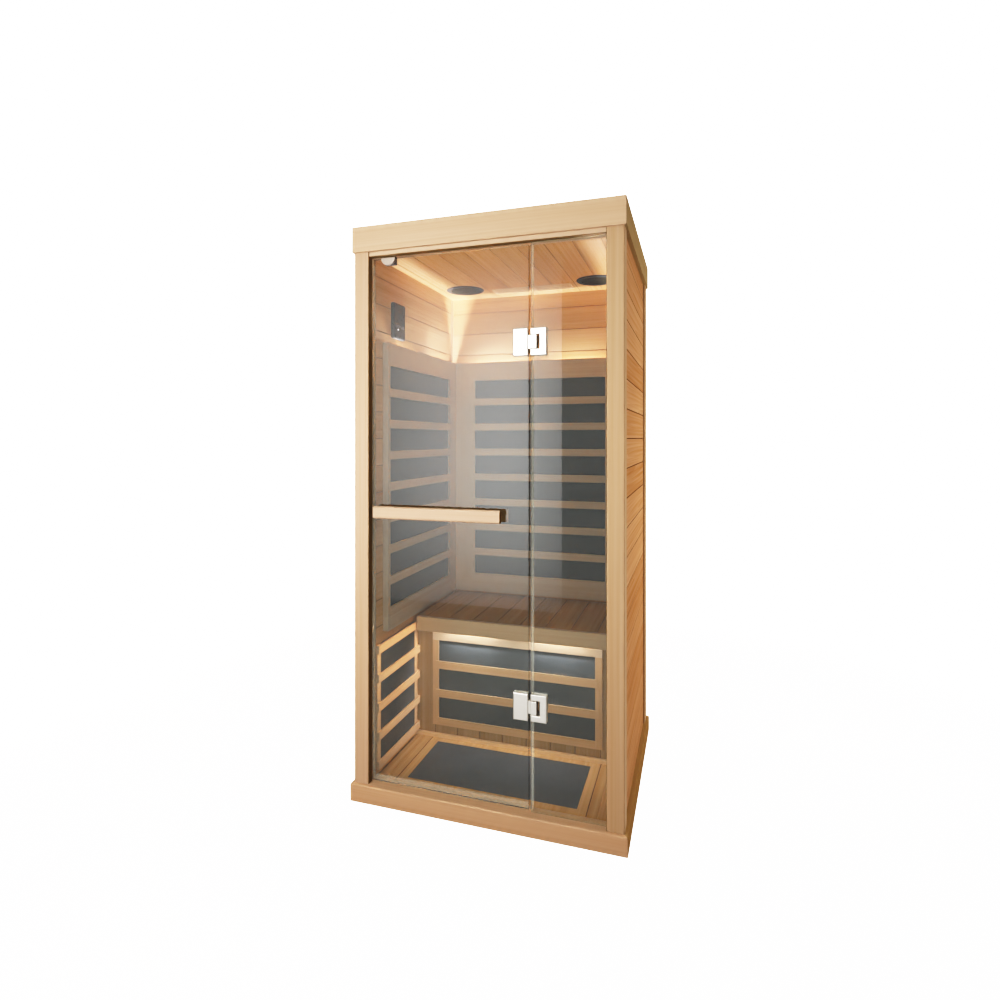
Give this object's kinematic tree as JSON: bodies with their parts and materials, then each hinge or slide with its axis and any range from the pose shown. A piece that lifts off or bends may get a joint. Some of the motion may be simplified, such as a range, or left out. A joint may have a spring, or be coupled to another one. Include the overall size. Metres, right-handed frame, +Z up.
{
  "type": "infrared sauna cabin",
  "caption": "Free-standing infrared sauna cabin of pale wood with a glass front and hinged glass door, a bench, slatted carbon heaters, lamp rails, ceiling speakers and a control panel.",
  "frame": {"origin": "on the ground, under the middle of the base", "axes": "+X to the right of someone facing the door, +Y towards the back wall, +Z up"},
  "size_m": [0.963, 0.909, 2.03],
  "materials": {
    "pale_wood": "planed, matt oiled hemlock",
    "warm_wood": "planed tongue and groove boards, untreated",
    "carbon_heater": "semi-gloss laminate over carbon film",
    "lamp_lens": "opal lens, lit warm white",
    "dark_plastic": "moulded, fine grain",
    "powder_coat": "powder coated sheet steel",
    "satin_nickel": "brushed, nickel plated",
    "clear_glass": "toughened, polished edges",
    "clear_seal": "soft clear extrusion"
  },
  "bodies": {
    "cabin": {"crown_front": "pale_wood", "crown_back": "pale_wood", "crown_left": "pale_wood", "crown_right": "pale_wood", "post_front_left": "pale_wood", "post_front_right": "pale_wood", "post_back_left": "pale_wood", "post_back_right": "pale_wood", "head_rail": "pale_wood", "back_heater_grille": "pale_wood", "left_heater_grille": "pale_wood", "right_heater_grille": "pale_wood", "left_calf_grille": "pale_wood", "right_calf_grille": "pale_wood", "bench_apron": "pale_wood", "bench_heater_grille": "pale_wood", "base_front": "warm_wood", "base_back": "warm_wood", "base_left": "warm_wood", "base_right": "warm_wood", "left_wall_outer": "warm_wood", "left_wall_inner": "warm_wood", "right_wall_outer": "warm_wood", "right_wall_inner": "warm_wood", "back_wall_outer": "warm_wood", "back_wall_inner": "warm_wood", "floor_boards": "warm_wood", "ceiling_panel": "warm_wood", "roof_panel": "warm_wood", "bench_skirt": "warm_wood", "bench_seat": "warm_wood", "bench_back_cleat": "warm_wood", "floor_heater": "carbon_heater", "back_heater_panel": "carbon_heater", "left_heater_panel": "carbon_heater", "right_heater_panel": "carbon_heater", "left_calf_panel": "carbon_heater", "right_calf_panel": "carbon_heater", "bench_heater_panel": "carbon_heater", "back_lamp_rail": "lamp_lens", "left_lamp_rail": "lamp_lens", "right_lamp_rail": "lamp_lens", "bench_lamp_rail": "lamp_lens", "speaker_left": "dark_plastic", "speaker_right": "dark_plastic", "control_panel": "dark_plastic", "catch_magnet": "dark_plastic", "power_unit": "powder_coat", "upper_hinge_fixed_leaf": "satin_nickel", "upper_hinge_pin": "satin_nickel", "lower_hinge_fixed_leaf": "satin_nickel", "lower_hinge_pin": "satin_nickel", "fixed_glass": "clear_glass"},
    "door": {"door_glass": "clear_glass", "upper_hinge_door_leaf": "satin_nickel", "lower_hinge_door_leaf": "satin_nickel", "handle_outer": "pale_wood", "handle_inner": "pale_wood", "catch_clip": "satin_nickel", "door_edge_seal": "clear_seal"}
  },
  "joints": [
    {"name": "door_hinge", "type": "hinge", "parent": "cabin", "child": "door", "pos_m": [0.175, -0.414, 1], "axis": [0, 0, 1], "range_deg": [0, 100]}
  ]
}
